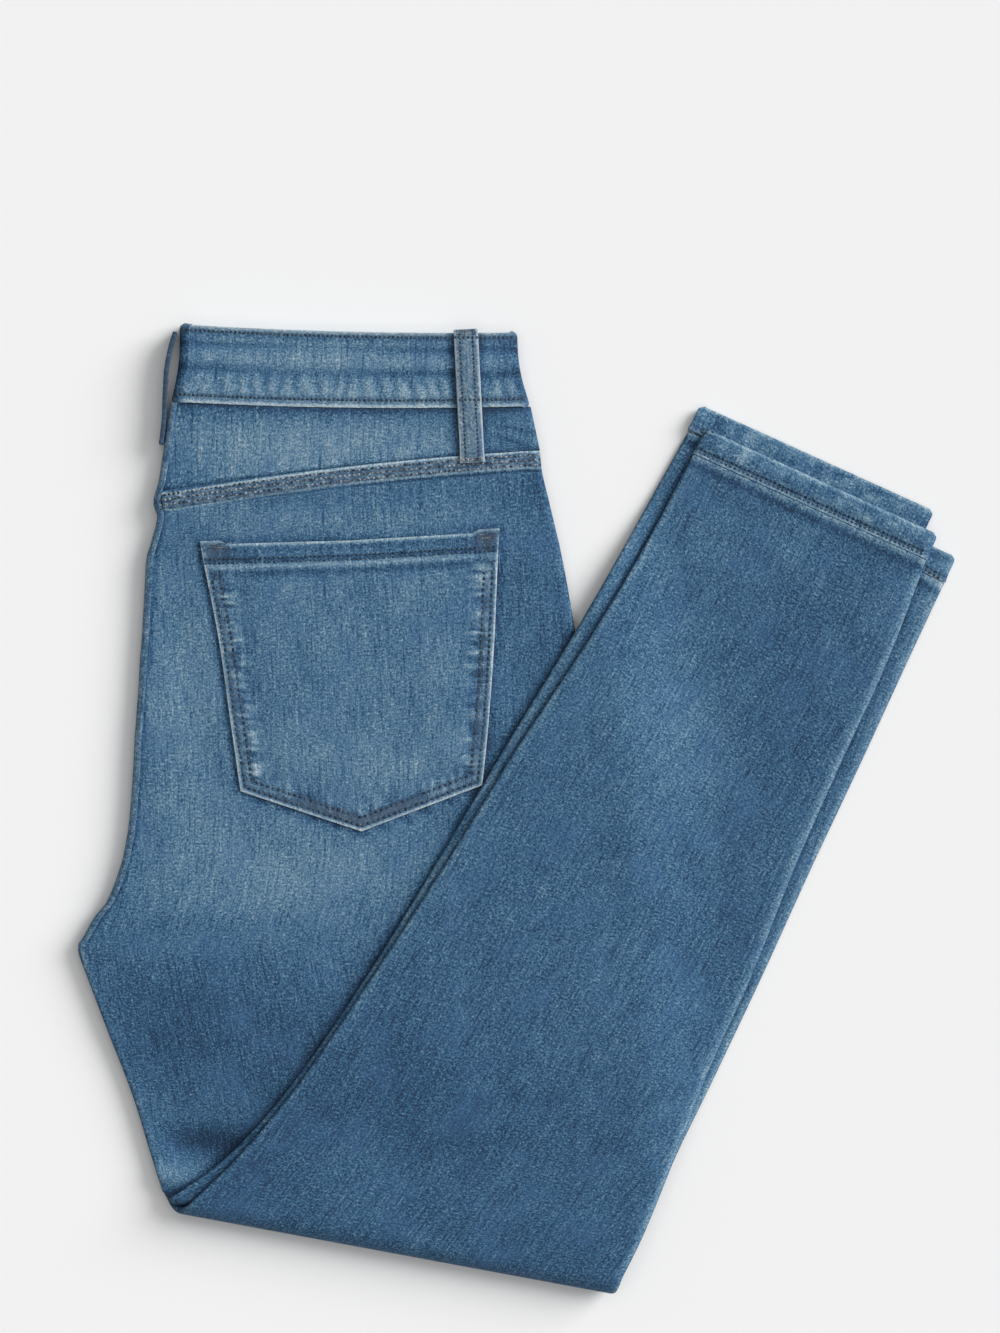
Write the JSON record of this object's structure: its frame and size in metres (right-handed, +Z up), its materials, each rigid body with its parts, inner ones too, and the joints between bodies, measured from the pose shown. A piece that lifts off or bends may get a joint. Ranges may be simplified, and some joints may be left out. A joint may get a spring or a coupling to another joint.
{
  "type": "skinny jeans, folded flat",
  "caption": "Skinny jeans in mid blue denim, folded down the middle and again at mid thigh, lying flat with the right back pocket on top.",
  "frame": {"origin": "middle of the folded pile's outline, on the surface it lies on", "axes": "+Z up from the surface, +Y from the thigh fold towards the waistband, +X towards the wearer's right side seam"},
  "size_m": [0.4623, 0.5081, 0.0199],
  "materials": {
    "denim_body": "mid blue denim, matt twill",
    "denim_faded": "mid blue denim, matt, worn paler",
    "denim_trim": "pale worn denim on raised seams and hems, matt"
  },
  "bodies": {
    "root": {"waistband": "denim_faded", "yoke_right": "denim_faded", "yoke_left": "denim_faded", "back_right": "denim_body", "back_left": "denim_body", "inner_layers": "denim_body", "seat_seam": "denim_trim", "pocket_right": "denim_faded", "hem_left": "denim_trim", "hem_right_back": "denim_trim", "hem_right_front": "denim_trim", "belt_loop_back": "denim_trim", "belt_loop_centre": "denim_trim"}
  },
  "joints": []
}
